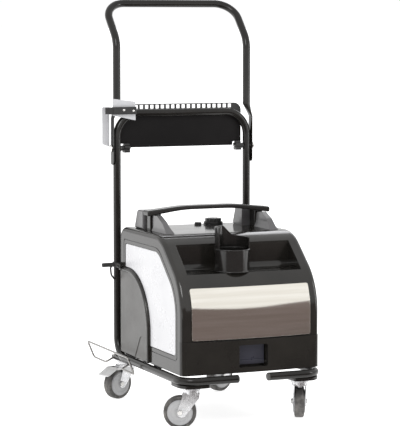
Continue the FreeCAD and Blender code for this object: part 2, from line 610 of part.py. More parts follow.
def arch_area(grow, x0, x1):
    return prism_x([(ARCH_FRONT - grow, BODY_Z0), (ARCH_FRONT - grow, ARCH_TOP + grow),
                    (BODY_REAR, ARCH_TOP + grow),
                    (BODY_REAR, BODY_Z0)], [0, ARCH_R + grow, 0, 0], x0, x1)


def insert_area(shrink, x0, x1):
    points, radii = profile(INSERT_INSET + shrink, rear=INSERT_REAR - shrink, bottom=INSERT_Z0 + shrink)
    radii[0], radii[3] = 10, 8
    return prism_x(points, radii, x0, x1).cut(arch_area(2.5 + shrink, x0 - 1, x1 + 1))


# recess for the drain flap in the lower front
RECESS_X0, RECESS_X1, RECESS_Z0, RECESS_Z1, RECESS_D = -36.0, 40.0, BODY_Z0 + 15, BODY_Z0 + 69, 16.0


def arch_rim():
    """Raised rounded rim that frames the arch cover."""
    rim = arch_area(RIM_LAP, -BODY_HALF - RIM_OUT, -BODY_HALF + INSERT_DEPTH + 1)
    rim = rim.common(box(-POST_OUT, 0, ARCH_FRONT - 5, BODY_REAR - 14, BODY_Z0 + WALL + 1, ARCH_TOP + 5))
    face = -BODY_HALF - RIM_OUT
    rim = fillet(rim, 5.0, lambda e: abs(e.CenterOfMass.x - face) < 0.01 and e.CenterOfMass.y < BODY_REAR - 15
                 and e.CenterOfMass.z > BODY_Z0 + WALL + 2)
    return rim.cut(arch_area(-RIM_W, face - 1, -BODY_HALF + INSERT_DEPTH + 3))


def insert_groove():
    """Shallow line that runs round the side insert."""
    x0, x1 = -BODY_HALF - 1, -BODY_HALF + GROOVE_D
    outer = insert_area(-GROOVE_OFFSET - GROOVE_W, x0, x1).cut(insert_area(-GROOVE_OFFSET, x0 - 1, x1 + 1))
    return outer.cut(arch_area(0.5, x0 - 1, x1 + 1))


def body_shell():
    """Moulded case, open at the bottom and the rear, with pockets for the side panels."""
    wide, rear_half = BODY_HALF + 1, BODY_HALF - 16
    shell = OUTER.cut(body_block(WALL))
    shell = shell.cut(box(-wide, wide, BODY_FRONT - 20, BODY_REAR + 20, BODY_Z0 - 1, BODY_Z0 + WALL))
    shell = shell.cut(box(-rear_half, rear_half, BODY_REAR - 10, BODY_REAR + 5, BODY_Z0 - 1, BODY_TOP - 30))
    shell = shell.cut(tray_void)
    ledge = join([insert_area(-2.0, -BODY_HALF + 1, -BODY_HALF + INSERT_DEPTH + WALL),
                  arch_area(0.0, -BODY_HALF + 1, -BODY_HALF + INSERT_DEPTH + WALL).common(
                      box(-BODY_HALF, 0, ARCH_FRONT - 5, BODY_REAR - WALL, BODY_Z0 + WALL, ARCH_TOP + 5))])
    shell = shell.fuse(pair(ledge.common(body_block(0.5))))
    hollows = [insert_area(0.0, -BODY_HALF - 1, -BODY_HALF + INSERT_DEPTH),
               arch_area(0.0, -BODY_HALF - 1, -BODY_HALF + INSERT_DEPTH)]
    for hollow in hollows:
        shell = shell.cut(pair(hollow))
    shell = shell.fuse(pair(arch_rim())).cut(pair(insert_groove()))
    window = box(RECESS_X0 - 2, RECESS_X1 + 2, BODY_FRONT - 1, BODY_FRONT + WALL + 1,
                 RECESS_Z0 - 2, RECESS_Z1 + 2)
    shell = shell.cut([window] + POST_ROOM)
    hook = rod((-BODY_HALF + 1, HOOK_Y, STRAP_Z), (-POST_OUT - STRAP_T - 2, HOOK_Y, STRAP_Z), HOOK_R)
    return shell.fuse(hook).removeSplitter()


def crowned(z0, z1, half, outset):
    """A solid that follows the front of the body and bulges forward at the middle."""
    front_points, front_radii = profile(-outset, bottom=z0)
    flat = Part.Face(outline([V(0, y, z) for y, z in front_points], front_radii))
    axis_y = BODY_FRONT - outset + CROWN_R
    wide = math.degrees(half / CROWN_R) + 0.5
    flat.rotate(V(0, axis_y, 0), Z_AXIS, -wide)
    swept = flat.revolve(V(0, axis_y, 0), Z_AXIS, 2 * wide)
    return swept.common(box(-half, half, BODY_FRONT - outset - 5, BODY_FRONT + 130, z0, z1))


def behind(inset):
    return slab(inset, -BODY_HALF * 1.2, BODY_HALF * 1.2, bottom=0.0)


COVER_HALF, COVER_Z0, COVER_Z1 = BODY_HALF + 0.8, BODY_Z0 + 2, BODY_Z0 + 81.5
STEEL_HALF, STEEL_Z0, STEEL_Z1 = BODY_HALF - 26, COVER_Z1 + 4, SLOPE_Z + 1
STEEL_T = 1.5


def steel_panel():
    """Formed steel sheet with its edges turned back to the case."""
    panel = crowned(STEEL_Z0, STEEL_Z1, STEEL_HALF, CROWN + 1.0).cut(behind(0.0))
    panel = panel.cut(crowned(STEEL_Z0 + STEEL_T, STEEL_Z1 - STEEL_T, STEEL_HALF - STEEL_T,
                              CROWN + 1.0 - STEEL_T))
    return fillet(panel, 5.0, lambda e: abs(abs(e.CenterOfMass.x) - STEEL_HALF) < 0.2 and e.Length < 20
                  and abs(e.tangentAt(e.FirstParameter).y) > 0.7)


def front_cover():
    """Lower front cover that wraps round the body's corners, with a lined recess."""
    round_y = BODY_FRONT - 0.7 + EDGE_R
    cover = crowned(COVER_Z0, COVER_Z1, COVER_HALF, CROWN + 1.5)
    cover = cover.common(box(-COVER_HALF, COVER_HALF, BODY_FRONT - 30, round_y + 4, COVER_Z0, COVER_Z1))
    corner = box(-COVER_HALF - 1, -COVER_HALF + EDGE_R, round_y - 2 * EDGE_R, round_y, COVER_Z0 - 1,
                 COVER_Z1 + 1)
    corner = corner.cut(rod((-COVER_HALF + EDGE_R, round_y, COVER_Z0 - 2),
                            (-COVER_HALF + EDGE_R, round_y, COVER_Z1 + 2),
                            EDGE_R))
    cover = cover.cut(pair(corner)).cut(OUTER)
    opening = plate_y(RECESS_X0, RECESS_X1, RECESS_Z0, RECESS_Z1, BODY_FRONT - 30, BODY_FRONT + 30, 3)
    pocket = box(RECESS_X0 - 2, RECESS_X1 + 2, BODY_FRONT, BODY_FRONT + RECESS_D, RECESS_Z0 - 2,
                 RECESS_Z1 + 2)
    pocket = pocket.cut(box(RECESS_X0, RECESS_X1, BODY_FRONT - 1, BODY_FRONT + RECESS_D - 2, RECESS_Z0,
                            RECESS_Z1))
    return join([cover.cut(opening), pocket])


parts["body_shell"] = body_shell()
parts["steel_front_panel"] = steel_panel()
parts["front_cover"] = front_cover()

DOOR_GAP, DOOR_Z0, DOOR_Z1, DOOR_T = 1.0, RECESS_Z0 + 5, RECESS_Z1 - 2, 5.0
DOOR_Y = BODY_FRONT + RECESS_D - 2 - DOOR_T - 3.0
HINGE_Z, DOOR_PIN_R = DOOR_Z0 + 3.0, 1.2


def drain_door():
    """Blue-grey flap in the recess, hinged along its lower edge, with a finger ledge at the bottom."""
    x0, x1 = RECESS_X0 + DOOR_GAP, RECESS_X1 - DOOR_GAP - 3
    leaf = plate_y(x0, x1, DOOR_Z0, DOOR_Z1, DOOR_Y, DOOR_Y + DOOR_T, 2)
    ledge = prism_x([(DOOR_Y - 3, DOOR_Z0), (DOOR_Y, DOOR_Z0), (DOOR_Y, DOOR_Z0 + 12),
                     (DOOR_Y - 3, DOOR_Z0 + 10)],
                    [1, 0, 0, 1], x0 + 1, x1 - 1)
    return join([leaf, ledge]).cut(door_pin(DOOR_PIN_R + RUN_GAP))


def door_pin(radius):
    return rod((RECESS_X0, DOOR_Y + DOOR_T / 2, HINGE_Z), (RECESS_X1, DOOR_Y + DOOR_T / 2, HINGE_Z), radius)


parts["drain_door"] = drain_door()
parts["drain_door_pin"] = door_pin(DOOR_PIN_R)


def side_insert():
    plate = insert_area(0.8, -BODY_HALF + INSERT_DEPTH - INSERT_T, -BODY_HALF + INSERT_DEPTH)
    return fillet(plate, 1.2, lambda e: abs(e.CenterOfMass.x + BODY_HALF - INSERT_DEPTH + INSERT_T) < 0.01)


def arch_cover():
    """Grey rear side cover inside the arch rim, with a small arch at its foot."""
    face = -BODY_HALF - 3
    plate = arch_area(-RIM_W - 0.4, face, -BODY_HALF + INSERT_DEPTH)
    plate = plate.common(box(-BODY_HALF - 10, 0, ARCH_FRONT, BODY_REAR - 14, BODY_Z0 + WALL, ARCH_TOP))
    plate = fillet(plate, 2.5, lambda e: abs(e.CenterOfMass.x - face) < 0.01)
    foot = prism_x([(-58, BODY_Z0 - 5), (-58, 197), (-14, 194), (30, BODY_Z0 - 5)], [0, 6, 20, 0],
                   face - 1, face + 1.2)
    return cut(plate, foot, *POST_ROOM)


side = side_insert()
parts["side_insert_left"], parts["side_insert_right"] = side, mirror_x(side)
arch = arch_cover()
parts["arch_cover_left"], parts["arch_cover_right"] = arch, mirror_x(arch)


def base_pan():
    half = BODY_HALF - 4
    return block(-half, half, BODY_FRONT + 4, BODY_REAR - 4, BODY_Z0, BODY_Z0 + WALL, 12).cut(POST_ROOM)


def rear_cover():
    half, z0, z1 = BODY_HALF - 16.5, BODY_Z0 + WALL, BODY_TOP - 30.5
    plate = prism_y([(-half, z0), (half, z0), (half, z1), (-half, z1)], [4, 4, 8, 8], BODY_REAR - WALL,
                    BODY_REAR)
    vents = [prism_y([(x, 330), (x + 60, 330), (x + 60, 334), (x, 334)], [1.9] * 4, BODY_REAR - 5,
                     BODY_REAR + 5)
             for x in (-80, 20)]
    slots = [v.translated(V(0, 0, 10 * i)) for v in vents for i in range(7)]
    inlet = rod((GLAND_X, BODY_REAR - 10, GLAND_Z), (GLAND_X, BODY_REAR + 10, GLAND_Z), 9.0)
    return plate.cut(slots + [inlet])


GLAND_X, GLAND_Z = 110.0, 180.0


def cable_gland():
    nut = rod((GLAND_X, BODY_REAR, GLAND_Z), (GLAND_X, BODY_REAR + 4, GLAND_Z), 13.0)
    neck = rod((GLAND_X, BODY_REAR - 8, GLAND_Z), (GLAND_X, BODY_REAR + 1, GLAND_Z), 9.0)
    return join([nut, neck]).cut(rod((GLAND_X, BODY_REAR - 9, GLAND_Z), (GLAND_X, BODY_REAR + 5, GLAND_Z),
                                     4.5))


parts["base_pan"] = base_pan()
parts["rear_cover"] = rear_cover()
parts["cable_gland"] = cable_gland()

# ---------------------------------------------------------------- tray and cup
def accessory_tray():
    """Moulded step in the slope of the body: a floor and a back wall, cut away for the cup."""
    half = TRAY_HALF
    step = prism_x([(TRAY_Y0 - 2, TRAY_Z - WALL), (TRAY_Y1 + WALL, TRAY_Z - WALL),
                    (TRAY_Y1 + WALL, BODY_TOP - 6),
                    (TRAY_Y1 - 20, BODY_TOP - 6), (TRAY_Y0 - 2, TRAY_Z + 12)],
                   [0, 19, 0, 0, 0], -half - WALL, half + WALL)
    step = step.common(OUTER)
    cup = rod((CUP_X, CUP_Y, TRAY_Z), (CUP_X, CUP_Y, BODY_TOP), CUP_R + 0.2)
    return cut(step, tray_void, parts["body_shell"], cup)


CUP_X, CUP_Y, CUP_R, CUP_T = -20.0, TRAY_Y1 - 44, 43.0, 2.5
CUP_Z1, CUP_HIGH, CUP_LOW = TRAY_Z + 55, TRAY_Z + 109, TRAY_Z + 84


def cup_holder():
    """Round cup with a tall back wall that is level at the left and falls in a curve to the right."""
    low = ring((CUP_X, CUP_Y, TRAY_Z), (CUP_X, CUP_Y, CUP_Z1), CUP_R, CUP_R - CUP_T)
    floor = rod((CUP_X, CUP_Y, TRAY_Z), (CUP_X, CUP_Y, TRAY_Z + CUP_T), CUP_R)
    back = ring((CUP_X, CUP_Y, CUP_Z1 - 5), (CUP_X, CUP_Y, CUP_HIGH), CUP_R, CUP_R - CUP_T)
    wedge = prism_y([(CUP_X - 60, CUP_Z1 - 10), (CUP_X + 60, CUP_Z1 - 10), (CUP_X + 60, CUP_LOW - 4),
                     (CUP_X + 16, CUP_LOW + 2), (CUP_X - 6, CUP_HIGH), (CUP_X - 60, CUP_HIGH)],
                    [0, 0, 0, 16, 7, 0], CUP_Y - 12, CUP_Y + 60)
    return join([low, floor, back.common(wedge)])


parts["accessory_tray"] = accessory_tray()
parts["cup_holder"] = cup_holder()

# ---------------------------------------------------------------- carry handle and controls
GRIP_Y, GRIP_W = -5.0, 34.0
GRIP_END, GRIP_ARCH_Z, GRIP_END_Z, GRIP_T = BODY_HALF - 15, BODY_TOP + 61, BODY_TOP + 49, 9.0
BAR_END_LOW, BAR_END_HIGH = GRIP_END_Z - GRIP_T - 3, GRIP_END_Z + 2
LEG_OUT, LEG_IN = BODY_HALF - 28, BODY_HALF - 50
TOWER_OUT, TOWER_IN, TOWER_TOP = BODY_HALF - 21, BODY_HALF - 71, BODY_TOP + 48
FIN_OUT, FIN_IN, FIN_TOP = BODY_HALF - 33, BODY_HALF - 46, BODY_TOP + 38


def carry_handle():
    """Slim arched bar, a little thicker at its two ends, on two short legs."""
    half_w = GRIP_W / 2
    points = [(-GRIP_END, BAR_END_LOW), (-70, GRIP_ARCH_Z - GRIP_T - 1), (70, GRIP_ARCH_Z - GRIP_T - 1),
              (GRIP_END, BAR_END_LOW), (GRIP_END, BAR_END_HIGH), (70, GRIP_ARCH_Z),
              (-70, GRIP_ARCH_Z), (-GRIP_END, BAR_END_HIGH)]
    bar = prism_y(points, [4, 400, 400, 4, 5, 400, 400, 5], GRIP_Y - half_w, GRIP_Y + half_w)
    bar = fillet(bar, 3.0, lambda e: abs(abs(e.CenterOfMass.y - GRIP_Y) - half_w) < 0.01)
    leg = block(-LEG_OUT, -LEG_IN, GRIP_Y, GRIP_Y + 33, BODY_TOP, BAR_END_LOW + 6, 3)
    return join([bar] + pair(leg))


def handle_tower():
    """Left support of the carry handle: a block behind the leg and a fin that runs forward to the brow."""
    back, front = GRIP_Y + 94, GRIP_Y + 34
    rear = prism_x([(front, BODY_TOP), (back, BODY_TOP), (back - 20, TOWER_TOP), (front, TOWER_TOP)],
                   [0, 6, 14, 3], -TOWER_OUT, -TOWER_IN)
    rear = fillet(rear, 4.0, lambda e: e.CenterOfMass.z > BODY_TOP + 5
                  and abs(e.CenterOfMass.x + TOWER_OUT) < 0.01)
    side = prism_x([(GRIP_Y - 4, BODY_TOP - 20), (GRIP_Y - 4, FIN_TOP), (GRIP_Y - 32, FIN_TOP + 2),
                    (GRIP_Y - 68, BODY_TOP + 25), (GRIP_Y - 98, BODY_TOP + 2),
                    (GRIP_Y - 130, BODY_TOP - 20)],
                   [0, 1, 8, 40, 30, 0], -FIN_OUT - 12, -FIN_IN + 16)
    flare = prism_y([(-FIN_OUT, FIN_TOP + 5), (-FIN_IN, FIN_TOP + 5), (-FIN_IN + 2, BODY_TOP + 14),
                     (-FIN_IN + 16, BODY_TOP - 20), (-FIN_OUT - 10, BODY_TOP - 20), (-FIN_OUT,
                                                                                     BODY_TOP + 8)],
                    [0, 0, 30, 0, 0, 20], GRIP_Y - 140, GRIP_Y)
    fin = max(side.common(flare).cut(OUTER).Solids, key=lambda solid: solid.Volume)
    return [rear, fin]


parts["carry_handle"] = carry_handle()
tower = group([piece.cut(parts["carry_handle"]) for piece in handle_tower()])
parts["handle_towers"] = group([s for side in pair(tower) for s in side.Solids])

DIAL_X, DIAL_Y, DIAL_R, DIAL_H = 60.0, 95.0, 25.0, 15.0
BUTTON_X, BUTTON_R, BUTTON_H, BUTTON_TRAVEL = 17.0, 12.0, 6.0, 2.5
SPINDLE_R = 3.0


def dial_knob():
    base = rod((DIAL_X, DIAL_Y, BODY_TOP + AIR), (DIAL_X, DIAL_Y, BODY_TOP + 6), DIAL_R)
    grip = rod((DIAL_X, DIAL_Y, BODY_TOP + 5), (DIAL_X, DIAL_Y, BODY_TOP + DIAL_H), DIAL_R - 4)
    flutes = [rod((DIAL_X + DIAL_R * math.cos(a), DIAL_Y + DIAL_R * math.sin(a), BODY_TOP + 6),
                  (DIAL_X + DIAL_R * math.cos(a), DIAL_Y + DIAL_R * math.sin(a),
                   BODY_TOP + DIAL_H + 1), 6.0)
              for a in [math.radians(30 * i) for i in range(12)]]
    spindle = rod((DIAL_X, DIAL_Y, BODY_TOP - 16), (DIAL_X, DIAL_Y, BODY_TOP + 5), SPINDLE_R)
    return join([base, grip.cut(flutes), spindle])


def button():
    cap = rod((BUTTON_X, DIAL_Y, BODY_TOP - WALL - 1), (BUTTON_X, DIAL_Y, BODY_TOP + BUTTON_H),
              BUTTON_R - 3)
    cap = cap.makeFillet(1.5, [e for e in cap.Edges if e.CenterOfMass.z > BODY_TOP + BUTTON_H - 0.1])
    foot = rod((BUTTON_X, DIAL_Y, BODY_TOP - WALL - 3), (BUTTON_X, DIAL_Y, BODY_TOP - WALL - 1), BUTTON_R)
    return join([cap, foot])


top_holes = [rod((DIAL_X, DIAL_Y, BODY_TOP - 30), (DIAL_X, DIAL_Y, BODY_TOP + 1), SPINDLE_R + RUN_GAP),
             rod((BUTTON_X, DIAL_Y, BODY_TOP - 30), (BUTTON_X, DIAL_Y, BODY_TOP + 1), BUTTON_R - 3 + 0.3)]
parts["body_shell"] = parts["body_shell"].cut(top_holes)
parts["dial_knob"] = dial_knob()
parts["push_button"] = button()

# ---------------------------------------------------------------- what works inside
PAN_TOP = BODY_Z0 + WALL


def hollow_can(p, q, radius, wall):
    """A closed drum along the line from p to q."""
    step = (V(*q) - V(*p)).normalize() * wall
    return rod(p, q, radius).cut(rod(tuple(V(*p) + step), tuple(V(*q) - step), radius - wall))


def boiler():
    y, z, radius = 40.0, PAN_TOP + 90.0, 62.0
    drum = hollow_can((-110, y, z), (90, y, z), radius, 2.0)
    feet = [box(x, x + 12, y - 40, y + 40, PAN_TOP, z - radius * 0.6) for x in (-90, 60)]
    return join([drum] + [foot.cut(rod((-110, y, z), (90, y, z), radius)) for foot in feet])


def water_tank():
    def block(inset, z0, z1):
        x0, x1, y0, y1 = -150 + inset, 30 - inset, BODY_FRONT + 40 + inset, BODY_FRONT + 210 - inset
        return prism_z([(x0, y0), (x1, y0), (x1, y1), (x0, y1)], [14 - inset] * 4, z0, z1)
    return block(0, PAN_TOP, TRAY_Z - 42).cut(block(WALL, PAN_TOP + WALL, TRAY_Z - 45))


def vacuum_motor():
    x, y, top = 100.0, BODY_FRONT + 130, PAN_TOP + 115
    can = rod((x, y, PAN_TOP), (x, y, top), 60.0).cut(ring((x, y, PAN_TOP + WALL), (x, y, top - WALL),
                                                           57.0, 30.0))
    return join([can, hollow_can((x, y, top - 1), (x, y, TRAY_Z - 52), 42.0, WALL)])


def steam_pump():
    z = PAN_TOP + 70
    return join([box(110, 160, -40, 20, PAN_TOP, z - 15), rod((135, -40, z), (135, 20, z), 22)])


def control_board():
    top = BODY_TOP - 22
    return join([box(-40, 110, 70, 120, top - 2, top), box(-30, 0, 75, 110, top, top + 10)])


parts["boiler"] = boiler()
parts["water_tank"] = water_tank()
parts["vacuum_motor"] = vacuum_motor()
parts["steam_pump"] = steam_pump()
parts["control_board"] = control_board()


# ---------------------------------------------------------------- place and write
def place_all(shapes):
    """Moves every piece so that the origin is the centre of the footprint at floor level."""
    whole = Part.makeCompound(list(shapes.values())).optimalBoundingBox(False)
    shift = V(-(whole.XMin + whole.XMax) / 2, -(whole.YMin + whole.YMax) / 2, -whole.ZMin)
    for shape in shapes.values():
        shape.translate(shift)
    return shift


SHIFT = place_all(parts)
os.makedirs("parts", exist_ok=True)
for name, shape in parts.items():
    shape.exportStep("parts/" + name + ".step")
print("origin shift", SHIFT, "nodes", len(parts))
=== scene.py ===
"""Looks of the steam carpet cleaner on its trolley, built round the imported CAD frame.

Metres, in the frame of the CAD: +Z up, the machine faces -Y, its left side is towards -X.
"""
import bpy
import bmesh
import math
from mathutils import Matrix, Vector


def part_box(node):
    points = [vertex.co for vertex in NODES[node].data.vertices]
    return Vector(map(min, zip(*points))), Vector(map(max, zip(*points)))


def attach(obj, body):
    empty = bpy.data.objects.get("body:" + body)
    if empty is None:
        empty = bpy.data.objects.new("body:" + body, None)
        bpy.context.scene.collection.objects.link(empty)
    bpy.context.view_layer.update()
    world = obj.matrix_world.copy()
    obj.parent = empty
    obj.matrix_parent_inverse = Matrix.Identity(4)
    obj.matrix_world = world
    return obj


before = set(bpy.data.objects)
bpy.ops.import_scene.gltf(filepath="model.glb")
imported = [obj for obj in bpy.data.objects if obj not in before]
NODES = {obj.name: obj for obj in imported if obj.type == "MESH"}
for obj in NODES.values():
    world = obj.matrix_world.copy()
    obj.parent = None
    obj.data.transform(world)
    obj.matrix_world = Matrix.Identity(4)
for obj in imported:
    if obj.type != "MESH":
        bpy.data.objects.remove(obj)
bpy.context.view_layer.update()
MM = 0.001


def mid(node):
    low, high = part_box(node)
    return (low + high) / 2


UP = (0, 0, 1)
TUBE_R = 10 * MM
# the way that each caster's wheel trails behind its swivel, in degrees from +X
HEADINGS = {"front_left": 157.0, "front_right": 67.0, "rear_left": 202.0, "rear_right": 202.0}
MID_X = mid("lower_frame_tube").x
POST_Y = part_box("lower_frame_tube")[1].y - TUBE_R


# ---------------------------------------------------------------- material graphs
DUST_COLOUR = (0.42, 0.40, 0.37)
PEEL_DEPTH, GRAIN_DEPTH, SCRATCH_DEPTH, BRUSH_DEPTH, PIT_DEPTH = 0.0004, 0.0002, 0.0001, 0.00008, 0.0001


class Graph:
    """A material whose Principled shader is fed by small procedural graphs in frame coordinates."""

    def __init__(self, name, **sockets):
        self.material = bpy.data.materials.new(name)
        self.material.use_nodes = True
        self.tree = self.material.node_tree
        self.tree.nodes.clear()
        self.shader = self.add("ShaderNodeBsdfPrincipled")
        out = self.add("ShaderNodeOutputMaterial")
        self.link(self.shader.outputs["BSDF"], out.inputs["Surface"])
        self.where = self.add("ShaderNodeTexCoord").outputs["Object"]
        for key, value in sockets.items():
            self.shader.inputs[key.replace("_", " ")].default_value = value

    def add(self, kind, **values):
        node = self.tree.nodes.new(kind)
        for key, value in values.items():
            setattr(node, key, value)
        return node

    def link(self, a, b):
        self.tree.links.new(a, b)

    def stretched(self, scale, turn=(0, 0, 0)):
        mapping = self.add("ShaderNodeMapping")
        mapping.inputs["Scale"].default_value = scale
        mapping.inputs["Rotation"].default_value = turn
        self.link(self.where, mapping.inputs["Vector"])
        return mapping.outputs["Vector"]

    def noise(self, scale, detail=3.0, rough=0.55, vector=None):
        node = self.add("ShaderNodeTexNoise")
        node.inputs["Scale"].default_value = scale
        node.inputs["Detail"].default_value = detail
        node.inputs["Roughness"].default_value = rough
        self.link(vector or self.where, node.inputs["Vector"])
        return node.outputs["Fac"]

    def span(self, value, low, high, out_low=0.0, out_high=1.0):
        node = self.add("ShaderNodeMapRange")
        for key, number in (("From Min", low), ("From Max", high), ("To Min", out_low), ("To Max", out_high)):
            node.inputs[key].default_value = number
        self.link(value, node.inputs["Value"])
        return node.outputs["Result"]

    def math(self, operation, a, b):
        node = self.add("ShaderNodeMath", operation=operation)
        for socket, value in zip(node.inputs, (a, b)):
            if isinstance(value, (int, float)):
                socket.default_value = value
            else:
                self.link(value, socket)
        return node.outputs["Value"]

    def mix(self, factor, a, b):
        node = self.add("ShaderNodeMix", data_type="RGBA")
        self.link(factor, node.inputs["Factor"])
        for socket, value in zip((node.inputs[6], node.inputs[7]), (a, b)):
            if isinstance(value, tuple):
                socket.default_value = (*value, 1.0)
            else:
                self.link(value, socket)
        return node.outputs[2]

    def bump(self, height, strength, distance):
        node = self.add("ShaderNodeBump")
        node.inputs["Strength"].default_value = strength
        node.inputs["Distance"].default_value = distance
        self.link(height, node.inputs["Height"])
        if self.shader.inputs["Normal"].is_linked:
            self.link(self.shader.inputs["Normal"].links[0].from_socket, node.inputs["Normal"])
        self.link(node.outputs["Normal"], self.shader.inputs["Normal"])

    def soft_edges(self, radius):
        """Rounds the shading of edges, as a moulding or a deburred sheet has."""
        node = self.add("ShaderNodeBevel", samples=4)
        node.inputs["Radius"].default_value = radius
        self.link(node.outputs["Normal"], self.shader.inputs["Normal"])

    def colour(self, value):
        self.link(value, self.shader.inputs["Base Color"])

    def roughness(self, value):
        self.link(value, self.shader.inputs["Roughness"])


def moulded(name, light, dark, rough, grain=1600.0, grain_depth=0.05, peel=0.0, edge=0.6, dust=0.0,
            **sockets):
    """Moulded or painted surface: cloudy colour, uneven gloss, a fine grain and softened edges."""
    g = Graph(name, **sockets)
    if edge:
        g.soft_edges(edge * MM)
    cloud = g.noise(9.0, 4.0)
    base = g.mix(g.span(cloud, 0.35, 0.65), dark, light)
    if dust:
        settled = g.math("MULTIPLY", g.span(g.noise(42.0, 6.0, 0.7), 0.45, 0.75), dust)
        base = g.mix(settled, base, DUST_COLOUR)
    g.colour(base)
    smears = g.math("ADD", g.noise(16.0, 5.0, 0.6), g.math("MULTIPLY", g.noise(140.0, 3.0), 0.35))
    g.roughness(g.span(smears, 0.40, 0.95, rough[0], rough[1]))
    if peel:
        g.bump(g.noise(260.0, 2.0), peel, PEEL_DEPTH)
    if grain_depth:
        g.bump(g.noise(grain, 2.0), grain_depth, GRAIN_DEPTH)
    return g


def painted_tube():
    """Gloss powder coat with a light orange peel."""
    return moulded("powder_coat_black", (0.012, 0.0108, 0.0095), (0.007, 0.0062, 0.0055), (0.10, 0.24),
                   peel=0.06, grain_depth=0.02, edge=0.5, Specular_IOR_Level=0.34).material


def shell_gloss():
    """Glossy charcoal plastic with hair scratches."""
    g = moulded("shell_gloss_charcoal", (0.0155, 0.0140, 0.0120), (0.0105, 0.0096, 0.0084), (0.09, 0.17),
                grain_depth=0.0, peel=0.015, edge=1.2, Specular_IOR_Level=0.5)
    scratch = g.noise(60.0, 3.0, 0.6, g.stretched((2.0, 60.0, 9.0), (0.3, 0.5, 0.8)))
    g.bump(g.span(scratch, 0.68, 0.72), 0.03, SCRATCH_DEPTH)
    return g.material


def cover_gloss():
    return moulded("cover_charcoal", (0.0165, 0.0150, 0.0130), (0.0115, 0.0105, 0.0092), (0.10, 0.18),
                   grain_depth=0.0, peel=0.012, edge=0.8, Specular_IOR_Level=0.42).material


def brushed_panel():
    """Polished sheet with a fine horizontal brushing."""
    g = Graph("steel_sheet_brushed", Metallic=1.0)
    g.soft_edges(0.8 * MM)
    fine = g.noise(1.0, 4.0, 0.7, g.stretched((14.0, 900.0, 1500.0)))
    broad = g.noise(1.0, 3.0, 0.5, g.stretched((3.0, 60.0, 90.0)))
    g.colour(g.mix(g.span(broad, 0.35, 0.65), (0.80, 0.765, 0.69), (0.88, 0.85, 0.78)))
    g.roughness(g.span(g.math("ADD", fine, broad), 0.7, 1.3, 0.09, 0.13))
    g.bump(fine, 0.05, BRUSH_DEPTH)
    return g.material


def chrome(name, tint, rough, speckle=0.5):
    """Bright plated metal, cloudy with handling and slightly pitted."""
    g = Graph(name, Metallic=1.0)
    g.soft_edges(0.4 * MM)
    stain = g.span(g.noise(70.0, 5.0, 0.65), 0.45, 0.8)
    dull = tuple(c * speckle for c in tint)
    g.colour(g.mix(stain, tint, dull))
    g.roughness(g.span(g.noise(220.0, 4.0), 0.3, 0.7, rough[0], rough[1]))
    g.bump(g.noise(900.0, 2.0), 0.05, PIT_DEPTH)
    return g.material


def tyre_rubber():
    """Dark grey rubber with settled dust."""
    return moulded("tyre_grey_rubber", (0.060, 0.056, 0.053), (0.036, 0.034, 0.032), (0.5, 0.75),
                   grain=900.0, grain_depth=0.16, edge=0.5, dust=0.35).material


def control_plastic():
    return moulded("control_black_plastic", (0.020, 0.019, 0.019), (0.012, 0.0115, 0.0115), (0.30, 0.45),
                   grain=1800.0, grain_depth=0.08, edge=0.6).material


SHELL = shell_gloss()
TUBE = painted_tube()
COVER = cover_gloss()
STEEL = brushed_panel()
WIRE = chrome("wire_bright", (0.30, 0.29, 0.28), (0.16, 0.30))
FORK = chrome("caster_zinc", (0.66, 0.66, 0.67), (0.18, 0.34), 0.62)
SCREW = chrome("screw_zinc", (0.72, 0.71, 0.69), (0.18, 0.3), 0.6)
RUBBER = moulded("rubber_black", (0.022, 0.021, 0.020), (0.012, 0.0115, 0.011), (0.55, 0.8), grain=1300.0,
                 grain_depth=0.14, edge=0.4, dust=0.05).material
TYRE = tyre_rubber()
CONTROL = control_plastic()
GLOSS_TRIM = moulded("trim_gloss_black", (0.014, 0.0130, 0.0120), (0.010, 0.0092, 0.0088), (0.12, 0.22),
                     peel=0.02, grain_depth=0.0, edge=0.8).material
WHITE = moulded("insert_white_gloss", (0.56, 0.56, 0.572), (0.51, 0.51, 0.525), (0.22, 0.34), grain=1500.0,
                grain_depth=0.03, edge=0.6, dust=0.03).material
ARCH = moulded("arch_cover_grey", (0.048, 0.045, 0.041), (0.036, 0.034, 0.031), (0.28, 0.42), grain=1500.0,
               grain_depth=0.06, edge=1.0).material
DOOR = moulded("flap_blue_grey", (0.028, 0.0285, 0.040), (0.020, 0.0205, 0.030), (0.25, 0.4), grain=1500.0,
               grain_depth=0.05, edge=0.6).material
BRACKET = moulded("bracket_pale_paint", (0.52, 0.52, 0.535), (0.45, 0.45, 0.465), (0.3, 0.5), peel=0.08,
                  grain_depth=0.03, edge=0.4, dust=0.05).material
CAP = moulded("end_cap_plastic", (0.060, 0.058, 0.055), (0.040, 0.038, 0.036), (0.35, 0.5), edge=0.6).material
PEDAL = chrome("pedal_dull_zinc", (0.60, 0.60, 0.60), (0.34, 0.5), 0.75)
GUARD = moulded("thread_guard_grey", (0.40, 0.40, 0.405), (0.31, 0.31, 0.315), (0.28, 0.42), grain=1200.0,
                grain_depth=0.05, edge=0.6, dust=0.18).material
HUB = moulded("wheel_core_grey", (0.40, 0.40, 0.41), (0.30, 0.30, 0.31), (0.35, 0.5), edge=0.6,
              dust=0.2).material
CASE = moulded("case_dark_plastic", (0.030, 0.029, 0.028), (0.020, 0.019, 0.019), (0.4, 0.55), grain=1300.0,
               grain_depth=0.1, edge=0.6).material
TANK = moulded("tank_milky", (0.70, 0.72, 0.74), (0.62, 0.64, 0.67), (0.3, 0.45)).material
CAST = moulded("cast_metal", (0.48, 0.48, 0.49), (0.36, 0.36, 0.37), (0.35, 0.55), grain=500.0,
               grain_depth=0.15, Metallic=1.0).material
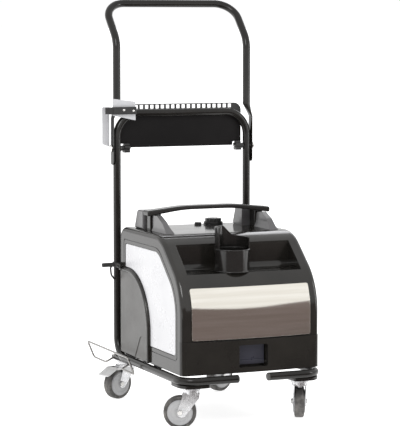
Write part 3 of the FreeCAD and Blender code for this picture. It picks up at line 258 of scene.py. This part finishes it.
PANEL = moulded("panel_black_satin", (0.0080, 0.0070, 0.0072), (0.0055, 0.0049, 0.0050), (0.35, 0.5),
                grain=900.0, grain_depth=0.04, edge=0.4, Specular_IOR_Level=0.12).material
TOWER = moulded("tower_grey_gloss", (0.105, 0.102, 0.105), (0.080, 0.078, 0.080), (0.16, 0.26),
                grain_depth=0.0, peel=0.015, edge=1.2).material
LOOKS = {
    TUBE: ["lower_frame_tube", "handle_tube", "body_rest_bars", "caster_mount_plates"],
    PANEL: ["rack_panel"],
    TOWER: ["handle_towers"],
    CAP: ["frame_end_caps"],
    RUBBER: ["rest_pads", "rubber_strap", "strap_handle"],
    CONTROL: ["tool_comb", "bracket_clamp", "star_knob_left", "star_knob_right", "dial_knob", "push_button"],
    BRACKET: ["lance_bracket"],
    SCREW: ["rack_screws", "pivot_bolts", "caster_bolts", "drain_door_pin"],
    WIRE: ["wire_cradle"],
    FORK: ["caster_plates"] + ["fork_" + n for n in HEADINGS],
    GUARD: ["axle_" + n for n in HEADINGS],
    PEDAL: ["brake_pedal_rear_left", "brake_pedal_rear_right"],
    HUB: ["wheel_" + n for n in HEADINGS],
    TYRE: ["tyre_" + n for n in HEADINGS],
    SHELL: ["body_shell", "accessory_tray"],
    GLOSS_TRIM: ["cup_holder", "carry_handle"],
    COVER: ["front_cover"],
    STEEL: ["steel_front_panel"],
    DOOR: ["drain_door"],
    WHITE: ["side_insert_left", "side_insert_right"],
    ARCH: ["arch_cover_left", "arch_cover_right"],
    CASE: ["base_pan", "rear_cover", "cable_gland", "control_board"],
    TANK: ["water_tank"],
    CAST: ["boiler", "vacuum_motor", "steam_pump"],
}
for material, names in LOOKS.items():
    for name in names:
        node = NODES[name]
        for slot in node.material_slots:
            slot.material = material


# ---------------------------------------------------------------- pieces the CAD leaves plain
def add_piece(name, verts, faces, material, body):
    mesh = bpy.data.meshes.new(name)
    mesh.from_pydata([tuple(v) for v in verts], [], faces)
    mesh.materials.append(material)
    made = bmesh.new()
    made.from_mesh(mesh)
    bmesh.ops.recalc_face_normals(made, faces=made.faces)
    made.to_mesh(mesh)
    made.free()
    piece = bpy.data.objects.new(name, mesh)
    bpy.context.scene.collection.objects.link(piece)
    for polygon in mesh.polygons:
        polygon.use_smooth = True
    mesh.set_sharp_from_angle(angle=math.radians(40))
    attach(piece, body)


def lathed(name, profile, centre, axis, material, body, steps=48, ripple=0.0, waves=0):
    """A closed profile of (along, radius) in millimetres, turned about an axis.

    Ripple and its number of waves make the outline of the turned piece wavy.
    """
    axis = Vector(axis).normalized()
    side = axis.orthogonal().normalized()
    other = axis.cross(side)
    count = len(profile)
    verts, faces = [], []
    for k in range(steps):
        angle = 2 * math.pi * k / steps
        grow = 1.0 + ripple * math.cos(waves * angle)
        out = side * math.cos(angle) + other * math.sin(angle)
        verts += [Vector(centre) + axis * a * MM + out * r * grow * MM for a, r in profile]
    for k in range(steps):
        a, b = k * count, (k + 1) % steps * count
        faces += [(a + i, a + (i + 1) % count, b + (i + 1) % count, b + i) for i in range(count)]
    add_piece(name, verts, faces, material, body)


def ring_profile(a0, a1, r0, r1, soft):
    """Rounded rectangle between two distances along the axis and two radii."""
    return [(a0 + soft, r0), (a1 - soft, r0), (a1, r0 + soft), (a1, r1 - soft),
            (a1 - soft, r1), (a0 + soft, r1), (a0, r1 - soft), (a0, r0 + soft)]


BEAD_STEP = 0.7 * MM


def bead_line(name, start, end, radius, lift, material, body):
    """A weld bead: overlapping ripples laid along a line, flattened where it sits."""
    start, end, lift = Vector(start), Vector(end), Vector(lift).normalized()
    along = (end - start).normalized()
    side = along.cross(lift)
    rows, arc = max(12, int((end - start).length / BEAD_STEP)), 9
    verts, faces = [], []
    for i in range(rows + 1):
        t = i / rows
        r = radius * MM * (0.80 + 0.20 * abs(math.sin(i * 1.25))) * min(1.0, 0.35 + 6 * min(t, 1 - t))
        for k in range(arc):
            a = math.pi * k / (arc - 1)
            verts.append(start.lerp(end, t) + side * math.cos(a) * r + lift * math.sin(a) * r * 0.7)
    for i in range(rows):
        for k in range(arc):
            a, b = i * arc, (i + 1) * arc
            faces.append((a + k, a + (k + 1) % arc, b + (k + 1) % arc, b + k))
    faces += [tuple(range(arc)), tuple(rows * arc + k for k in range(arc))]
    add_piece(name, verts, faces, material, body)


# millimetres along an axle from the middle of its wheel: the guard discs' outer faces, and just under
# the fork's outer faces, where the nuts begin
GUARD_FACE, NUT_FACE = 14.0, 16.4
TYRE_R = 40.0
RIBS, RIB_HALF = (-6.0, -2.0, 2.0, 6.0), 0.8
PLATE_HALF = 30 * MM
plates_low, plates_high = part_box("caster_plates")


def wheel_trim(name, hub, across):
    """Rings and nuts on both sides of a wheel, and the ribs of its tread."""
    swivel, wheel = "swivel_" + name, "wheel_body_" + name
    step = ring_profile(GUARD_FACE - 0.6, GUARD_FACE + 0.7, 21.5, 25.5, 0.5)
    boss = [(GUARD_FACE - 0.5, 11.0), (GUARD_FACE - 0.5, 15.0), (GUARD_FACE + 0.9, 14.0),
            (GUARD_FACE + 1.2, 12.0)]
    nut = [(NUT_FACE, 0.6), (NUT_FACE, 6.6), (NUT_FACE + 2.6, 6.6), (NUT_FACE + 3.9, 5.4),
           (NUT_FACE + 3.9, 0.6)]
    wall = ring_profile(11.0, 11.9, 33.2, 35.0, 0.4)
    for side, mark in ((-1, "_a"), (1, "_b")):
        label, outward = name + mark, across * side
        lathed("guard_step_" + label, step, hub, outward, GUARD, swivel)
        lathed("guard_hub_" + label, boss, hub, outward, GUARD, swivel)
        lathed("axle_nut_" + label, nut, hub, outward, SCREW, swivel, 48, 0.055, 6)
        lathed("sidewall_" + label, wall, hub, outward, TYRE, wheel, 72)
    for k, offset in enumerate(RIBS):
        rib = ring_profile(offset - RIB_HALF, offset + RIB_HALF, TYRE_R - 1, TYRE_R - 0.05, 0.3)
        lathed("tread_%s_%d" % (name, k), rib, hub, across, TYRE, wheel, 96)


def race_rings(name):
    """Two rings round the ball race under a caster's plate."""
    x = plates_low.x + PLATE_HALF if "left" in name else plates_high.x - PLATE_HALF
    y = plates_low.y + PLATE_HALF if "front" in name else plates_high.y - PLATE_HALF
    centre = Vector((x, y, plates_high.z))
    lathed("race_" + name, ring_profile(-8.9, -3.8, 20.8, 22.2, 0.6), centre, UP, FORK, "trolley",
           64)
    lathed("race_bead_" + name, ring_profile(-6.6, -5.4, 22.0, 22.9, 0.4), centre, UP, FORK, "trolley",
           96, 0.01, 24)


for name, heading in HEADINGS.items():
    turn = math.radians(heading)
    wheel_trim(name, mid("axle_" + name), Vector((-math.sin(turn), math.cos(turn), 0.0)))
    race_rings(name)

# cup: a ring at the height where its tall wall begins, and a foot ring
CUP_RIM_Z = 55 * MM
cup_low, cup_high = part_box("cup_holder")
cup_mid = (cup_low + cup_high) / 2
CUP_R = (cup_high.x - cup_low.x) / 2 / MM
lathed("cup_rim", ring_profile(-1.6, 1.2, CUP_R - 3.4, CUP_R + 1.2, 0.9),
       (cup_mid.x, cup_mid.y, cup_low.z + CUP_RIM_Z), UP, GLOSS_TRIM, "trolley", 96)
lathed("cup_foot", ring_profile(0.2, 3.4, CUP_R - 1.0, CUP_R + 1.8, 1.2),
       (cup_mid.x, cup_mid.y, cup_low.z), UP, GLOSS_TRIM, "trolley", 96)

# dial: cap, pointer and the ticks of its scale, whose steps are in degrees from +X
TICKS, TICK_STEP, FIRST_TICK, TICK_RING = 11, 27, -45, 0.0285
dial_low, dial_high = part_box("dial_knob")
dial = Vector(((dial_low.x + dial_high.x) / 2, (dial_low.y + dial_high.y) / 2, dial_high.z))
SHELL_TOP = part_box("body_shell")[1].z
lathed("dial_cap", [(-0.4, 0.5), (-0.4, 15.0), (0.5, 14.4), (0.9, 12.0), (0.7, 0.5)], dial, UP, CONTROL,
       "dial", 48)


def bar_piece(name, centre, direction, length, width, height, material, body):
    """A low bar with sloping sides and rounded ends, lying flat."""
    forward = Vector(direction).normalized()
    side = forward.cross(Vector(UP))
    around = 16
    verts = []
    for level, shrink in ((0.0, 0.0), (0.7, 0.0), (1.0, 0.25)):
        for k in range(around):
            a = 2 * math.pi * k / around
            half = width / 2 * (1 - shrink)
            push = length / 2 - width / 2
            end = push if math.cos(a) > 0 else -push
            spot = Vector(centre) + forward * (end + half * math.cos(a)) * MM
            verts.append(spot + side * half * math.sin(a) * MM + Vector((0, 0, height * level * MM)))
    faces = [tuple(range(around)), tuple(range(2 * around, 3 * around))]
    for r in (0, around):
        faces += [(r + k, r + (k + 1) % around, r + around + (k + 1) % around, r + around + k)
                  for k in range(around)]
    add_piece(name, verts, faces, material, body)


bar_piece("dial_pointer", dial + Vector((0, -10 * MM, 0.3 * MM)), (0, -1, 0), 11.0, 1.8, 0.9, WHITE, "dial")
for k in range(TICKS):
    angle = math.radians(FIRST_TICK + TICK_STEP * k)
    spoke = Vector((math.cos(angle), math.sin(angle), 0))
    bar_piece("dial_tick_%d" % k, Vector((dial.x, dial.y, SHELL_TOP)) + spoke * TICK_RING, spoke,
              4.0, 1.1, 0.25, WHITE, "trolley")

# star knobs clamp the posts from inside and the bolts' heads are outside: caps on the knobs, and a
# six-sided ring round each head
for inward, name in ((1, "left"), (-1, "right")):
    knob = mid("star_knob_" + name)
    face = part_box("star_knob_" + name)[1 if inward > 0 else 0].x
    centre = Vector((face, knob.y, mid("pivot_bolts").z))
    lathed("knob_cap_" + name, [(-0.6, 0.4), (-0.6, 5.4), (0.5, 4.8), (0.8, 3.0), (0.7, 0.4)], centre,
           (inward, 0, 0), GLOSS_TRIM, "knob_" + name, 32)
    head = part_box("pivot_bolts")[0 if inward > 0 else 1].x
    lathed("bolt_hex_" + name, [(-3.4, 7.6), (-3.4, 9.6), (-0.6, 9.6), (-0.2, 8.8), (-0.2, 7.6)],
           (head, centre.y, centre.z), (-inward, 0, 0), SCREW, "trolley", 48, 0.03, 6)

# screws of the rear cover, at shares of its width and height
rear_low, rear_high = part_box("rear_cover")
for share_x in (0.06, 0.94):
    for share_z in (0.06, 0.5, 0.94):
        spot = Vector((rear_low.x + (rear_high.x - rear_low.x) * share_x, rear_high.y,
                       rear_low.z + (rear_high.z - rear_low.z) * share_z))
        label = "%d_%d" % (share_x * 100, share_z * 100)
        lathed("cover_screw_" + label, [(-0.4, 1.2), (-0.4, 3.6), (0.5, 3.4), (1.0, 2.4), (0.55, 1.2)], spot,
               (0, 1, 0), SCREW, "trolley", 32, 0.05, 4)

# weld beads between the frame tube and the plates under it
WELD_Z, WELD_R, WELD_IN = 110.5 * MM, 1.6, 0.5 * MM
WELD_RUNS = ((-225 * MM, -265 * MM), (100 * MM, 140 * MM))
tube_low, tube_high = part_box("lower_frame_tube")
for side, x in ((-1, tube_low.x + 2 * TUBE_R), (1, tube_high.x - 2 * TUBE_R)):
    for k, (y0, y1) in enumerate(WELD_RUNS):
        weld_x = x - side * WELD_IN
        bead_line("weld_%d_%d" % (side, k), (weld_x, y0, WELD_Z), (weld_x, y1, WELD_Z), WELD_R,
                  (-side * 0.6, 0, 0.8), TUBE, "trolley")


# ---------------------------------------------------------------- stage, light and camera
def flat_sheet(name, corners, material):
    mesh = bpy.data.meshes.new(name)
    mesh.from_pydata([tuple(c) for c in corners], [], [tuple(range(len(corners)))])
    mesh.materials.append(material)
    piece = bpy.data.objects.new(name, mesh)
    bpy.context.scene.collection.objects.link(piece)
    return piece


FLOOR_HALF, FLOOR_GLOW = 400.0, 0.74
FLOOR = moulded("floor_pale", (0.80, 0.80, 0.80), (0.785, 0.785, 0.785), (0.6, 0.7), edge=0.0)
FLOOR.shader.inputs["Emission Color"].default_value = (1.0, 1.0, 1.0, 1.0)
FLOOR.shader.inputs["Emission Strength"].default_value = FLOOR_GLOW
flat_sheet("floor", [(-FLOOR_HALF, -FLOOR_HALF, 0), (FLOOR_HALF, -FLOOR_HALF, 0),
                     (FLOOR_HALF, FLOOR_HALF, 0), (-FLOOR_HALF, FLOOR_HALF, 0)], FLOOR.material)


def glow(name, colour):
    material = bpy.data.materials.new(name)
    material.use_nodes = True
    tree = material.node_tree
    tree.nodes.clear()
    emission = tree.nodes.new("ShaderNodeEmission")
    emission.inputs["Color"].default_value = (*colour, 1.0)
    out = tree.nodes.new("ShaderNodeOutputMaterial")
    tree.links.new(emission.outputs["Emission"], out.inputs["Surface"])
    return material


def studio_card(name, corners, colour):
    """A card that only shows in reflections."""
    card = flat_sheet(name, corners, glow(name, colour))
    card.visible_camera = False
    card.visible_diffuse = False
    card.visible_shadow = False
    card.visible_transmission = False


# the steel panel mirrors the front card, whose upper edge dips to CARD_TOP at DIP_X
CARD_Y, CARD_TOP, CARD_RISE, CARD_HALF, CARD_STEPS = -1.5, 0.40, 0.16, 2.6, 24
DIP_X, DIP_HALF = 0.5, 0.45
CARD_NEAR, CARD_LIFT = -0.55, 0.004
top_edge = []
for i in range(CARD_STEPS + 1):
    x = CARD_HALF - 2 * CARD_HALF * i / CARD_STEPS
    top_edge.append((x, CARD_Y, CARD_TOP + CARD_RISE * min(1.0, ((x - DIP_X) / DIP_HALF) ** 2)))
studio_card("front_card", [(-CARD_HALF, CARD_Y, 0.0), (CARD_HALF, CARD_Y, 0.0)] + top_edge,
            (0.19, 0.155, 0.150))
studio_card("front_floor_card", [(-CARD_HALF, CARD_Y, CARD_LIFT), (CARD_HALF, CARD_Y, CARD_LIFT),
                                 (CARD_HALF, CARD_NEAR, CARD_LIFT), (-CARD_HALF, CARD_NEAR, CARD_LIFT)],
            (0.15, 0.125, 0.120))
studio_card("top_glint", [(0.2, 1.3, 1.2), (2.6, 1.3, 1.2), (2.6, 1.6, 2.4), (0.2, 1.6, 2.4)],
            (3.6, 3.6, 3.7))
studio_card("left_glint", [(-2.4, 2.0, 0.2), (-2.4, 0.6, 0.2), (-2.4, 0.6, 1.5), (-2.4, 2.0, 1.5)],
            (2.2, 2.2, 2.2))

WORLD_GLOW = 1.02
world = bpy.data.worlds.new("studio")
bpy.context.scene.world = world
world.use_nodes = True
world.node_tree.nodes["Background"].inputs["Color"].default_value = (1.0, 1.0, 1.0, 1.0)
world.node_tree.nodes["Background"].inputs["Strength"].default_value = WORLD_GLOW


def softbox(name, place, target, width, height, power, colour=(1.0, 1.0, 1.0)):
    data = bpy.data.lights.new(name, "AREA")
    data.shape = "RECTANGLE"
    data.size, data.size_y = width, height
    data.energy = power
    data.color = colour
    light = bpy.data.objects.new(name, data)
    light.location = place
    light.rotation_euler = (Vector(target) - Vector(place)).to_track_quat("-Z", "Y").to_euler()
    light.visible_camera = False
    bpy.context.scene.collection.objects.link(light)


softbox("key", (-1.7, -2.0, 2.3), (0, 0, 0.4), 1.2, 1.2, 26.0)
softbox("left_rear", (-2.2, 1.9, 0.7), (-0.1, 0, 0.3), 2.2, 1.6, 8.0)
softbox("right_strip", (1.9, -1.3, 0.9), (0.1, 0, 0.4), 0.25, 1.5, 9.0)

# the camera's place beside the posts of the frame, its tilt and turn in degrees, and its lens
CAMERA_X, CAMERA_Y, CAMERA_Z = -2.0154, -4.8908, 0.9763
CAMERA_TILT, CAMERA_TURN, LENS = 84.67, -22.89, 171.9
camera_data = bpy.data.cameras.new("camera")
camera = bpy.data.objects.new("camera", camera_data)
bpy.context.scene.collection.objects.link(camera)
bpy.context.scene.camera = camera
camera_data.lens = LENS
camera_data.clip_end = 1000.0
camera.location = (MID_X + CAMERA_X, POST_Y + CAMERA_Y, CAMERA_Z)
camera.rotation_euler = (math.radians(CAMERA_TILT), 0.0, math.radians(CAMERA_TURN))
bpy.context.scene.view_settings.view_transform = "Standard"
